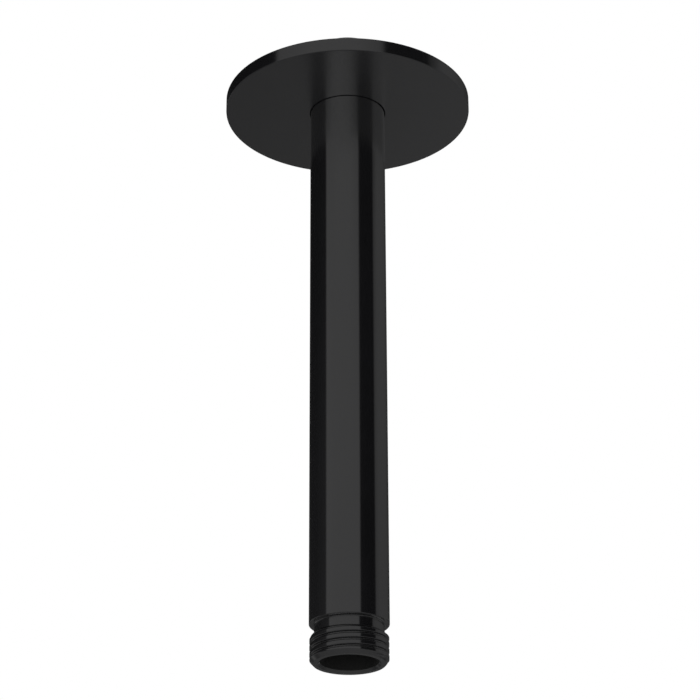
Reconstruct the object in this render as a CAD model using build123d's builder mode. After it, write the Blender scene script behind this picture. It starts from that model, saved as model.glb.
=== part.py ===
"""Straight ceiling shower arm: a threaded drop pipe and the flange that slides on it.

The origin is on the pipe's axis in the ceiling plane, where the inlet thread starts.
+Z points up into the ceiling, and the pipe hangs down along -Z. Millimetres.
"""

import os

from build123d import *

# Pipe
tube_diameter = 21.3  # outside of the plain pipe
tube_wall = 2.9  # plain pipe wall round the waterway
ceiling_drop = 169.0  # ceiling plane to the outlet's end face

# Pipe ends: half-inch parallel pipe thread, 20.955 mm over the crests
thread_step = 0.1725  # radial step from the plain pipe down to the thread crests
thread_depth = 1.162  # crests to roots of that thread
inlet_length = 16.0  # threaded end that stands above the ceiling plane
outlet_length = 10.6  # shoulder of the plain pipe to the outlet's end face
lead_depth = 0.9  # radial depth of the lead-in taper on both ends
lead_length = 1.0  # length of that taper along the pipe
mouth_chamfer = 0.65  # chamfer on both mouths of the waterway

# Neck between the outlet's shoulder and its thread
neck_relief = 0.015  # how far the neck lies below the thread's roots
neck_length = 2.7  # straight part of the neck
runout_length = 0.85  # cone from the neck out to the thread crests
shoulder_chamfer = 0.3  # broken edge of the plain pipe at the shoulder

# Flange
flange_diameter = 70.0
flange_thickness = 4.0
flange_clearance = 0.2  # radial gap between the pipe and the flange's bore
edge_break = 0.25  # chamfer on the flange's outer edges
bore_break = 0.15  # broken edges of the flange's bore
rim_width = 3.0  # raised rim that meets the ceiling
hub_wall = 2.75  # wall of the raised hub, outside the ring's groove
recess_depth = 1.5  # hollow in the flange's back, between rim and hub

# Ring in the flange's bore
ring_section = 2.0  # thickness of the ring's round section
ring_clearance = 0.05  # between ring and pipe, and between ring and groove floor
groove_clearance = 0.15  # between the ring and each side of its groove

tube_radius = tube_diameter / 2
bore_radius = tube_radius - tube_wall
thread_radius = tube_radius - thread_step
lead_radius = thread_radius - lead_depth
mouth_radius = bore_radius + mouth_chamfer
neck_radius = thread_radius - thread_depth - neck_relief

outlet_z = -ceiling_drop
shoulder_z = outlet_z + outlet_length
neck_end_z = shoulder_z - neck_length
runout_z = neck_end_z - runout_length

flange_bore_radius = tube_radius + flange_clearance
ring_radius = tube_radius + ring_clearance + ring_section / 2
groove_radius = ring_radius + ring_section / 2 + ring_clearance
groove_width = ring_section + 2 * groove_clearance
groove_z = -flange_thickness / 2
hub_radius = groove_radius + hub_wall
rim_inner_radius = flange_diameter / 2 - rim_width

# The pipe is one turned piece: its half section, spun about the axis.
with BuildPart() as arm_tube:
    with BuildSketch(Plane.XZ):
        with BuildLine():
            Polyline(
                (bore_radius, outlet_z + mouth_chamfer),
                (mouth_radius, outlet_z),
                (lead_radius, outlet_z),
                (thread_radius, outlet_z + lead_length),
                (thread_radius, runout_z),
                (neck_radius, neck_end_z),
                (neck_radius, shoulder_z),
                (tube_radius - shoulder_chamfer, shoulder_z),
                (tube_radius, shoulder_z + shoulder_chamfer),
                (tube_radius, 0),
                (thread_radius, 0),
                (thread_radius, inlet_length - lead_length),
                (lead_radius, inlet_length),
                (mouth_radius, inlet_length),
                (bore_radius, inlet_length - mouth_chamfer),
                close=True,
            )
        make_face()
    revolve(axis=Axis.Z)
arm_tube.part.label = "arm_tube"

# The flange is a flat disc under the ceiling, hollowed at the back between its rim and its hub.
with BuildPart() as ceiling_flange:
    with BuildSketch():
        Circle(flange_diameter / 2)
    extrude(amount=-flange_thickness)
    outer_edges = ceiling_flange.edges().filter_by(GeomType.CIRCLE)
    chamfer(outer_edges, edge_break)
    with BuildSketch():
        Circle(rim_inner_radius)
        Circle(hub_radius, mode=Mode.SUBTRACT)
    extrude(amount=-recess_depth, mode=Mode.SUBTRACT)
    Hole(flange_bore_radius)
    bore_wall = ceiling_flange.faces().filter_by(GeomType.CYLINDER).sort_by(SortBy.RADIUS)[0]
    chamfer(bore_wall.edges().filter_by(GeomType.CIRCLE), bore_break)
    with BuildSketch(Plane.XZ):
        with Locations((groove_radius / 2, groove_z)):
            Rectangle(groove_radius, groove_width)
    revolve(axis=Axis.Z, mode=Mode.SUBTRACT)
ceiling_flange.part.label = "ceiling_flange"

# The ring lies in the groove of the flange's bore, round the pipe.
with BuildPart() as flange_o_ring:
    with BuildSketch(Plane.XZ):
        with Locations((ring_radius, groove_z)):
            Circle(ring_section / 2)
    revolve(axis=Axis.Z)
flange_o_ring.part.label = "flange_o_ring"

os.makedirs("parts", exist_ok=True)
export_step(arm_tube.part, "parts/arm_tube.step")
export_step(ceiling_flange.part, "parts/ceiling_flange.step")
export_step(flange_o_ring.part, "parts/flange_o_ring.step")
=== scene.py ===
import math

import bpy
import numpy as np
from mathutils import Matrix


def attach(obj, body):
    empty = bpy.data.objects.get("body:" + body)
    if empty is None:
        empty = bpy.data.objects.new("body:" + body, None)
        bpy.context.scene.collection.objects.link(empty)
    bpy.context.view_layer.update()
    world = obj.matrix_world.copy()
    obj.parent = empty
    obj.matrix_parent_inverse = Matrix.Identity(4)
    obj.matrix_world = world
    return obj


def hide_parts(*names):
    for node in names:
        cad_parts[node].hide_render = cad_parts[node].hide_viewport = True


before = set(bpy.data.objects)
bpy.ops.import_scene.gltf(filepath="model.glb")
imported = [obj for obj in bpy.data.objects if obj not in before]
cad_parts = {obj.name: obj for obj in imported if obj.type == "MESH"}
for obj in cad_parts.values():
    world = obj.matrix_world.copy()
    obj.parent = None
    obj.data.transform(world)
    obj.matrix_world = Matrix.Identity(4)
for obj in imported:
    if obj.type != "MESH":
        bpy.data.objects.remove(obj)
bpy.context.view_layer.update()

# Drop pipe: one length of round steel pipe, turned and threaded at both ends and coated satin black.
# It screws into the fitting above the ceiling, and the lower thread takes the shower head.
# Sizes are in millimetres. The crests' height is taken at the front, three quarters round the pipe.
PIPE_R, BORE_R, NECK_R = 10.65, 7.75, 9.3005
DROP, INLET = 169.0, 16.0
LEAD_R, LEAD, MOUTH_R = 9.5775, 1.0, 8.4
SHOULDER_Z, NECK_END_Z, RUNOUT_Z = -158.4, -161.1, -161.95
THREAD_R, THREAD_PITCH, THREAD_DEPTH = 10.4775, 1.814, 0.48
CREST_FLAT, FLANK_LENGTH = 0.88, 0.36
CREST_Z, FRONT = -164.27, 0.75
FADE_START, FADE_LENGTH = 0.3, 2.4
OUTLET_STEP, INLET_STEP, UNCUT = 0.085, 0.12, 1000.0
PIPE_SEGMENTS = 240


def rounded(corners, radii, steps=6, hold=0.05):
    """A closed section with rounded corners, as rows of (r, z).

    Each corner becomes an arc of its own radius that is tangent to both sides. The arc's centre lies on
    the corner's bisector, at radius / sin(half the corner's angle). One more point on each side, a hold
    beyond the arc's end, keeps the shading of the flats flat.
    """
    before = np.roll(corners, 1, 0) - corners
    after = np.roll(corners, -1, 0) - corners
    before = before / np.linalg.norm(before, axis=1)[:, None]
    after = after / np.linalg.norm(after, axis=1)[:, None]
    half = np.arccos(np.clip((before * after).sum(1), -1, 1)) / 2
    bisector = (before + after) / np.linalg.norm(before + after, axis=1)[:, None]
    centre = corners + bisector * (radii / np.sin(half))[:, None]
    reach = (radii / np.tan(half))[:, None]
    first, last = corners + before * reach - centre, corners + after * reach - centre
    turn = np.arctan2(first[:, 0] * last[:, 1] - first[:, 1] * last[:, 0], (first * last).sum(1))
    angle = np.arctan2(first[:, 1], first[:, 0])[:, None] + turn[:, None] * np.linspace(0, 1, steps)
    arc = centre[:, None] + radii[:, None, None] * np.stack([np.cos(angle), np.sin(angle)], -1)
    start = arc[:, :1] + (before * hold)[:, None]
    end = arc[:, -1:] + (after * hold)[:, None]
    return np.concatenate([start, arc, end], 1).reshape(-1, 2)


def divided(section, step):
    """The section with each side cut into equal parts no longer than step, a length for each side."""
    side = np.roll(section, -1, 0) - section
    parts = np.maximum(1, np.ceil(np.linalg.norm(side, axis=1) / step)).astype(int)
    which = np.repeat(np.arange(len(section)), parts)
    passed = np.repeat(np.cumsum(parts) - parts, parts)
    along = (np.arange(parts.sum()) - passed) / np.repeat(parts, parts)
    return section[which] + along[:, None] * side[which]


def spun(name, radius, height, segments):
    """A closed surface round the z axis: x = r cos a, y = r sin a, z = h, in millimetres.

    radius is r for each station of the closed section and each angle a, and height is h for each station.
    The grid is joined to itself both ways, so the surface has no seam and no pole.
    """
    a = np.arange(segments) * (2 * np.pi / segments)
    radius = np.broadcast_to(radius, (len(height), segments))
    level = np.broadcast_to(height[:, None], radius.shape)
    points = np.stack([radius * np.cos(a), radius * np.sin(a), level], -1)
    i, j = np.meshgrid(np.arange(len(height)), np.arange(segments), indexing="ij")
    row, next_row = i * segments, (i + 1) % len(height) * segments
    next_j = (j + 1) % segments
    quads = np.stack([row + j, row + next_j, next_row + next_j, next_row + j], -1).reshape(-1, 4)
    mesh = bpy.data.meshes.new(name)
    mesh.vertices.add(points.size // 3)
    mesh.vertices.foreach_set("co", (points / 1000).ravel())
    mesh.loops.add(quads.size)
    mesh.loops.foreach_set("vertex_index", quads.ravel())
    mesh.polygons.add(len(quads))
    mesh.polygons.foreach_set("loop_start", np.arange(len(quads)) * 4)
    mesh.polygons.foreach_set("use_smooth", np.ones(len(quads), bool))
    mesh.update(calc_edges=True)
    mesh.validate()
    piece = bpy.data.objects.new(name, mesh)
    bpy.context.scene.collection.objects.link(piece)
    return piece


def thread_radius(angle, height):
    """Radius of a right-hand thread with flat crests and roots and rounded flanks between them.

    x is the distance along the pipe to the nearest crest, and the crest climbs one pitch each turn. From
    the crest's flat to the root's, s runs from 0 to 1, and the thread deepens by 3 s^2 - 2 s^3 of its depth.
    """
    turns = (height - CREST_Z) / THREAD_PITCH - angle / (2 * np.pi) + FRONT
    x = np.abs((turns + 0.5) % 1 - 0.5) * THREAD_PITCH
    s = np.clip((x - CREST_FLAT / 2) / FLANK_LENGTH, 0, 1)
    return THREAD_R - THREAD_DEPTH * s * s * (3 - 2 * s)


pipe_corners = np.array([
    (BORE_R, -DROP + MOUTH_R - BORE_R), (MOUTH_R, -DROP), (LEAD_R, -DROP), (THREAD_R, -DROP + LEAD),
    (THREAD_R, RUNOUT_Z), (NECK_R, NECK_END_Z), (NECK_R, SHOULDER_Z), (PIPE_R, SHOULDER_Z),
    (PIPE_R, 0), (THREAD_R, 0), (THREAD_R, INLET - LEAD), (LEAD_R, INLET), (MOUTH_R, INLET),
    (BORE_R, INLET - MOUTH_R + BORE_R)])
pipe_rounding = np.array([0.1, 0.08, 0.1, 0.2, 0.2, 0.2, 0.38, 0.25, 0.03, 0.03, 0.2, 0.1, 0.08, 0.1])
pipe_section = rounded(pipe_corners, pipe_rounding)
outside = pipe_section[:, 0] > (MOUTH_R + LEAD_R) / 2
low_end = outside & (pipe_section[:, 1] < NECK_END_Z)
high_end = outside & (pipe_section[:, 1] > 0)
side_step = np.where(low_end, OUTLET_STEP, np.where(high_end, INLET_STEP, UNCUT))
pipe_section = divided(pipe_section, side_step)
station_r, station_z = pipe_section[:, :1], pipe_section[:, 1:]
pipe_angle = np.arange(PIPE_SEGMENTS) * (2 * np.pi / PIPE_SEGMENTS)

# The outlet's turns keep their full depth, and the inlet's run out softly just above the ceiling.
fade = np.clip((station_z - FADE_START) / FADE_LENGTH, 0, 1)
fade = np.where(station_z < SHOULDER_Z, 1, fade * fade * (3 - 2 * fade))
turned_r = THREAD_R - (THREAD_R - thread_radius(pipe_angle[None], station_z)) * fade
threaded = (station_z < SHOULDER_Z) | (station_z > 0)
pipe_r = np.where(threaded, np.minimum(station_r, turned_r), station_r)
drop_pipe = spun("drop_pipe", pipe_r, station_z[:, 0], PIPE_SEGMENTS)


def linear(hex_colour):
    """An sRGB colour such as 1a1b1c as linear red, green, blue and full alpha."""
    value = np.array([int(hex_colour[k:k + 2], 16) for k in (0, 2, 4)]) / 255
    return (*np.where(value <= 0.04045, value / 12.92, ((value + 0.055) / 1.055) ** 2.4), 1.0)


def add(tree, kind, inputs={}, **settings):
    """Adds a node, with its settings and with each input either linked or set to a value."""
    node = tree.nodes.new(kind)
    for key, value in settings.items():
        setattr(node, key, value)
    for key, value in inputs.items():
        if isinstance(value, bpy.types.NodeSocket):
            tree.links.new(value, node.inputs[key])
        else:
            node.inputs[key].default_value = value
    return node


COAT_DARK, COAT_LIGHT = "0e0e0f", "141416"
CLOUD_SIZE, GRAIN_SIZE, PEEL_SIZE, PEEL_HEIGHT = 14.0, 0.3, 1.2, 0.006
GRAIN_GLOSS = 0.01
NOISE_LOW, NOISE_HIGH = 0.3, 0.7


def black_coat(name, gloss_low, gloss_high, spread):
    """A black coat baked on steel, with a roughness between the two given.

    It is a smooth thin film, so it mirrors soft panels as clean bands. Fine turning marks under it run
    round the axis, and they stretch its reflections across themselves, along the pipe, by spread from 0
    to 1. It has a faint orange peel, a fine grain in its gloss and slow clouds in its colour and gloss.
    """
    made = bpy.data.materials.new(name)
    made.use_nodes = True
    tree = made.node_tree
    tree.nodes.clear()
    place = add(tree, "ShaderNodeTexCoord").outputs["Object"]
    cloud = add(tree, "ShaderNodeTexNoise", {
        "Vector": place, "Scale": 1000 / CLOUD_SIZE, "Detail": 3.0, "Roughness": 0.55})
    grain = add(tree, "ShaderNodeTexNoise", {
        "Vector": place, "Scale": 1000 / GRAIN_SIZE, "Detail": 2.0, "Roughness": 0.6})
    peel = add(tree, "ShaderNodeTexNoise", {
        "Vector": place, "Scale": 1000 / PEEL_SIZE, "Detail": 1.0, "Roughness": 0.4})
    tint = add(tree, "ShaderNodeMix", {
        "Factor": cloud.outputs["Fac"], "A": linear(COAT_DARK), "B": linear(COAT_LIGHT)}, data_type="RGBA")
    gloss_grain = add(tree, "ShaderNodeMapRange", {
        "Value": grain.outputs["Fac"], "From Min": NOISE_LOW, "From Max": NOISE_HIGH,
        "To Min": -GRAIN_GLOSS, "To Max": GRAIN_GLOSS})
    gloss_cloud = add(tree, "ShaderNodeMapRange", {
        "Value": cloud.outputs["Fac"], "From Min": NOISE_LOW, "From Max": NOISE_HIGH,
        "To Min": gloss_low, "To Max": gloss_high})
    gloss = add(tree, "ShaderNodeMath", {
        0: gloss_grain.outputs["Result"], 1: gloss_cloud.outputs["Result"]})
    marks = add(tree, "ShaderNodeTangent", direction_type="RADIAL", axis="Z")
    skin = add(tree, "ShaderNodeBump", {
        "Height": peel.outputs["Fac"], "Strength": 0.25, "Distance": PEEL_HEIGHT / 1000})
    film = add(tree, "ShaderNodeBsdfPrincipled", {
        "Base Color": tint.outputs["Result"], "Roughness": gloss.outputs[0], "IOR": 1.5,
        "Normal": skin.outputs["Normal"], "Tangent": marks.outputs["Tangent"],
        "Anisotropic": spread, "Anisotropic Rotation": 0.25})
    add(tree, "ShaderNodeOutputMaterial", {"Surface": film.outputs["BSDF"]})
    return made


turned_coat = black_coat("satin_black_coat_on_turned_steel", 0.15, 0.16, 0.87)
drop_pipe.data.materials.append(turned_coat)

# Inside of the pipe: bare drawn steel, darkened and dull, with faint streaks along the pipe.
# The coat ends at the mouths, so only the faces on the bore's own radius are bare.
STREAK_WIDTH, STREAK_LENGTH = 1.0, 25.0
COAT_END_R = BORE_R + 0.02
dark_steel = bpy.data.materials.new("dull_darkened_steel")
dark_steel.use_nodes = True
tree = dark_steel.node_tree
tree.nodes.clear()
place = add(tree, "ShaderNodeTexCoord").outputs["Object"]
drawn = add(tree, "ShaderNodeMapping", {
    "Vector": place, "Scale": (1000 / STREAK_WIDTH, 1000 / STREAK_WIDTH, 1000 / STREAK_LENGTH)})
streak = add(tree, "ShaderNodeTexNoise", {"Vector": drawn.outputs["Vector"], "Scale": 1.0, "Detail": 3.0})
scale = add(tree, "ShaderNodeMix", {
    "Factor": streak.outputs["Fac"], "A": linear("0c0c0c"), "B": linear("121211")}, data_type="RGBA")
bare = add(tree, "ShaderNodeBsdfPrincipled", {
    "Base Color": scale.outputs["Result"], "Roughness": 0.6, "IOR": 1.5})
add(tree, "ShaderNodeOutputMaterial", {"Surface": bare.outputs["BSDF"]})
drop_pipe.data.materials.append(dark_steel)
inside = np.maximum(pipe_section[:, 0], np.roll(pipe_section[:, 0], -1)) < COAT_END_R
drop_pipe.data.polygons.foreach_set("material_index", np.repeat(inside.astype(np.int32), PIPE_SEGMENTS))
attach(drop_pipe, "arm")
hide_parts("arm_tube")

# Ceiling flange: a turned steel disc with the same black coat, a little duller on its flat face, loose on
# the pipe. Its back is hollowed between a rim, which meets the ceiling, and a hub, whose bore has the
# groove for the ring.
FLANGE_R, FLANGE_T, FLANGE_BORE_R = 35.0, 4.0, 10.85
RIM_R, HUB_R, RECESS = 32.0, 15.5, 1.5
GROOVE_R, GROOVE_HALF, FLANGE_MID = 12.75, 1.15, -2.0
FLANGE_SEGMENTS, FACE_SKIN = 256, 0.001
flange_corners = np.array([
    (FLANGE_BORE_R, -FLANGE_T), (FLANGE_R, -FLANGE_T), (FLANGE_R, 0), (RIM_R, 0), (RIM_R, -RECESS),
    (HUB_R, -RECESS), (HUB_R, 0), (FLANGE_BORE_R, 0), (FLANGE_BORE_R, FLANGE_MID + GROOVE_HALF),
    (GROOVE_R, FLANGE_MID + GROOVE_HALF), (GROOVE_R, FLANGE_MID - GROOVE_HALF),
    (FLANGE_BORE_R, FLANGE_MID - GROOVE_HALF)])
flange_rounding = np.array([0.1, 0.22, 0.22, 0.2, 0.3, 0.3, 0.2, 0.15, 0.08, 0.15, 0.15, 0.08])
flange_section = rounded(flange_corners, flange_rounding)
flange_disc = spun("flange_disc", flange_section[:, :1], flange_section[:, 1], FLANGE_SEGMENTS)
flange_disc.data.materials.append(turned_coat)
flange_disc.data.materials.append(black_coat("satin_black_coat_on_flat_face", 0.23, 0.25, 0.0))
under = flange_section[:, 1] < -FLANGE_T + FACE_SKIN
face = under & np.roll(under, -1)
flange_disc.data.polygons.foreach_set("material_index", np.repeat(face.astype(np.int32), FLANGE_SEGMENTS))
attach(flange_disc, "flange")
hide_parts("ceiling_flange")

# Ring in the flange's bore: moulded black rubber, round in section. It grips the pipe, so that the flange
# stays where it is pushed. Its rubber is dull, with a fine moulded grain.
RUBBER_GRAIN, RUBBER_GRAIN_HEIGHT = 0.15, 0.01
rubber = bpy.data.materials.new("moulded_black_rubber")
rubber.use_nodes = True
tree = rubber.node_tree
tree.nodes.clear()
place = add(tree, "ShaderNodeTexCoord").outputs["Object"]
speck = add(tree, "ShaderNodeTexNoise", {
    "Vector": place, "Scale": 1000 / RUBBER_GRAIN, "Detail": 2.0, "Roughness": 0.6})
bloom = add(tree, "ShaderNodeMix", {
    "Factor": speck.outputs["Fac"], "A": linear("191919"), "B": linear("232322")}, data_type="RGBA")
dull = add(tree, "ShaderNodeMapRange", {
    "Value": speck.outputs["Fac"], "From Min": NOISE_LOW, "From Max": NOISE_HIGH,
    "To Min": 0.55, "To Max": 0.7})
rough_skin = add(tree, "ShaderNodeBump", {
    "Height": speck.outputs["Fac"], "Strength": 0.3, "Distance": RUBBER_GRAIN_HEIGHT / 1000})
moulded = add(tree, "ShaderNodeBsdfPrincipled", {
    "Base Color": bloom.outputs["Result"], "Roughness": dull.outputs["Result"],
    "Normal": rough_skin.outputs["Normal"], "IOR": 1.52})
add(tree, "ShaderNodeOutputMaterial", {"Surface": moulded.outputs["BSDF"]})
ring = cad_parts["flange_o_ring"]
ring.data.materials.clear()
ring.data.materials.append(rubber)

# Studio floor: a plain sheet of pale matt paper, in metres, about as far below the ceiling as a shower
# floor is. It glows a little, so that it stays pale, and the coat doesn't mirror it.
FLOOR_Z, FLOOR_HALF, FLOOR_GLOW = -2.1, 14.0, 0.54
floor_corners = [(-FLOOR_HALF, -FLOOR_HALF, FLOOR_Z), (FLOOR_HALF, -FLOOR_HALF, FLOOR_Z),
                 (FLOOR_HALF, FLOOR_HALF, FLOOR_Z), (-FLOOR_HALF, FLOOR_HALF, FLOOR_Z)]
floor_mesh = bpy.data.meshes.new("floor")
floor_mesh.from_pydata(floor_corners, [], [(0, 1, 2, 3)])
floor = bpy.data.objects.new("floor", floor_mesh)
bpy.context.scene.collection.objects.link(floor)
pale = bpy.data.materials.new("pale_paper_floor")
pale.use_nodes = True
tree = pale.node_tree
tree.nodes.clear()
paper = add(tree, "ShaderNodeBsdfPrincipled", {
    "Base Color": linear("f2f2f0"), "Roughness": 0.9, "Specular IOR Level": 0.1,
    "Emission Color": (1, 1, 1, 1), "Emission Strength": FLOOR_GLOW})
add(tree, "ShaderNodeOutputMaterial", {"Surface": paper.outputs["BSDF"]})
floor_mesh.materials.append(pale)
floor.visible_glossy = False

# Studio light: a wide soft panel in front and a narrower one on the right, both fading to their sides
# near the top, a soft light overhead, and low panels on all sides that dim towards the floor.
# The backdrop itself is plain white.
world = bpy.data.worlds.new("studio")
bpy.context.scene.world = world
world.use_nodes = True
tree = world.node_tree
tree.nodes.clear()
toward = add(tree, "ShaderNodeTexCoord").outputs["Generated"]
axis = add(tree, "ShaderNodeSeparateXYZ", {0: toward})
front = add(tree, "ShaderNodeMath", {0: axis.outputs["Y"], 1: -1.0}, operation="MULTIPLY")
bearing = add(tree, "ShaderNodeMath", {0: axis.outputs["X"], 1: front.outputs[0]}, operation="ARCTAN2")
turn = add(tree, "ShaderNodeMapRange", {
    "Value": bearing.outputs[0], "From Min": -math.pi, "From Max": math.pi})
rise = axis.outputs["Z"]


def wall(*stops):
    """Brightness of the studio all round, from stops of bearing and brightness.

    A bearing is in degrees from the camera's side, positive to the right. The stops run from -180 to 180.
    """
    ramp = add(tree, "ShaderNodeValToRGB", {"Fac": turn.outputs["Result"]})
    stop_row = ramp.color_ramp.elements
    for degrees, strength in stops:
        spot = (degrees + 180) / 360
        stop = stop_row[0] if spot == 0 else stop_row[-1] if spot == 1 else stop_row.new(spot)
        stop.color = (strength, strength, strength, 1)
    return ramp.outputs["Color"]


def stacked(low_light, high_light, low, high):
    """One light above another, with a soft change between two elevations in degrees."""
    climb = add(tree, "ShaderNodeMapRange", {
        "Value": rise, "From Min": math.sin(math.radians(low)), "From Max": math.sin(math.radians(high))},
        interpolation_type="SMOOTHSTEP")
    both = add(tree, "ShaderNodeMix", {
        "Factor": climb.outputs["Result"], "A": low_light, "B": high_light}, data_type="RGBA")
    return both.outputs["Result"]


PANEL, GAP, SIDE, OVERHEAD = 1.0, 0.02, 0.52, (0.6, 0.6, 0.6, 1)
eye_wall = wall((-180, 0.04), (-140, 0.03), (-105, 0.07), (-70.4, 0.24), (-67.4, PANEL), (31, PANEL),
                (34, GAP), (80.2, GAP), (83.2, SIDE), (97, SIDE), (126, 0.26), (152, 0.07), (180, 0.04))
high_wall = wall((-180, 0.03), (-140, 0.01), (-70.4, 0.01), (-67.4, PANEL), (31, PANEL), (34, GAP),
                 (80.2, GAP), (83.2, SIDE), (97, SIDE), (126, 0.26), (152, 0.07), (180, 0.03))
top_wall = wall((-180, 0.03), (-140, 0.01), (-72.3, 0.01), (-69.3, 0.54), (-59, 0.61), (-47, 0.72),
                (-35, 0.88), (-24, 0.915), (-2, 0.93), (9, 0.915), (14, 0.85), (25, 0.66), (34.5, 0.5),
                (37.5, GAP), (81, 0.03), (90, 0.1), (98, 0.28), (104, 0.32), (114, 0.25), (126, 0.17),
                (139, 0.09), (152, 0.05), (180, 0.03))
upper = stacked(eye_wall, high_wall, 15, 30)
upper = stacked(upper, top_wall, 28.5, 31)
upper = stacked(upper, OVERHEAD, 45, 65)
low_wall = wall((-180, 0.13), (-168, 0.1), (-145, 0.1), (-135, 0.55), (-95, 0.55), (-87, 0.12),
                (-62, 0.12), (-54, 0.55), (40, 0.55), (48, 0.12), (78, 0.12), (86, 0.5), (122, 0.5),
                (132, 0.12), (180, 0.13))
foot_wall = wall((-180, 0.275), (-177, 0.215), (-165, 0.195), (-140, 0.15), (-120, 0.2), (-113, 0.42),
                 (-95, 0.53), (-54, 0.63), (40, 0.63), (95, 0.55), (113, 0.46), (125, 0.2), (142, 0.2),
                 (165, 0.35), (177, 0.35), (180, 0.275))
lower = stacked(foot_wall, low_wall, -28, -17)

# A strong low light in front and on the right shows only where one piece mirrors another. It lights the
# pipe's picture in the flange and the flange's picture in the top of the pipe.
PICTURE_GAIN, PAST_ONE_MIRROR = 12.6, 1.5
picture_wall = wall((-180, 0.04), (-140, 0.03), (-105, 0.08), (-72.5, 0.16), (-69.5, 0.58), (-48, 0.87),
                    (-36, 0.97), (-22, 1.0), (-8, 0.95), (2, 0.92), (10, 0.81), (19, 0.67), (30, 0.45),
                    (34, 0.15), (82, 0.15), (85, 0.34), (97, 0.32), (126, 0.16), (152, 0.09), (180, 0.04))
strong = add(tree, "ShaderNodeVectorMath", {0: picture_wall, "Scale": PICTURE_GAIN}, operation="SCALE")
picture = stacked(lower, strong.outputs[0], -45, -36)
picture = stacked(picture, lower, -25, -18)
path = add(tree, "ShaderNodeLightPath")
second = add(tree, "ShaderNodeMath", {
    0: path.outputs["Glossy Depth"], 1: PAST_ONE_MIRROR}, operation="GREATER_THAN")
mirrored = add(tree, "ShaderNodeMix", {
    "Factor": second.outputs[0], "A": lower, "B": picture}, data_type="RGBA")
around = stacked(mirrored.outputs["Result"], upper, 2, 11)
shown = add(tree, "ShaderNodeMix", {
    "Factor": path.outputs["Is Camera Ray"], "A": around, "B": (1, 1, 1, 1)}, data_type="RGBA")
light = add(tree, "ShaderNodeBackground", {"Color": shown.outputs["Result"], "Strength": 1.0})
add(tree, "ShaderNodeOutputWorld", {"Surface": light.outputs["Background"]})
bpy.context.scene.view_settings.view_transform = "Standard"
bpy.context.scene.view_settings.look = "None"

# Camera: below the arm and in front of it, looking up along the pipe at the flange's underside.
# Its place is in metres and its angles in degrees, and the picture is 700 pixels wide.
CAMERA_AT, CAMERA_TILT, CAMERA_ROLL = (0, -0.608054, -0.357496), 114.6133, -0.1984
SHIFT_PIXELS, PICTURE_PIXELS = 1.6636, 700
camera = bpy.data.objects.new("camera", bpy.data.cameras.new("camera"))
bpy.context.scene.collection.objects.link(camera)
camera.data.sensor_fit = "HORIZONTAL"
camera.data.sensor_width = 36.0
camera.data.lens = 124.6
camera.data.shift_x = SHIFT_PIXELS / PICTURE_PIXELS
camera.data.dof.use_dof = False
tilted = Matrix.Rotation(math.radians(CAMERA_TILT), 4, "X")
rolled = Matrix.Rotation(math.radians(CAMERA_ROLL), 4, "Z")
camera.matrix_world = Matrix.Translation(CAMERA_AT) @ tilted @ rolled
bpy.context.scene.camera = camera
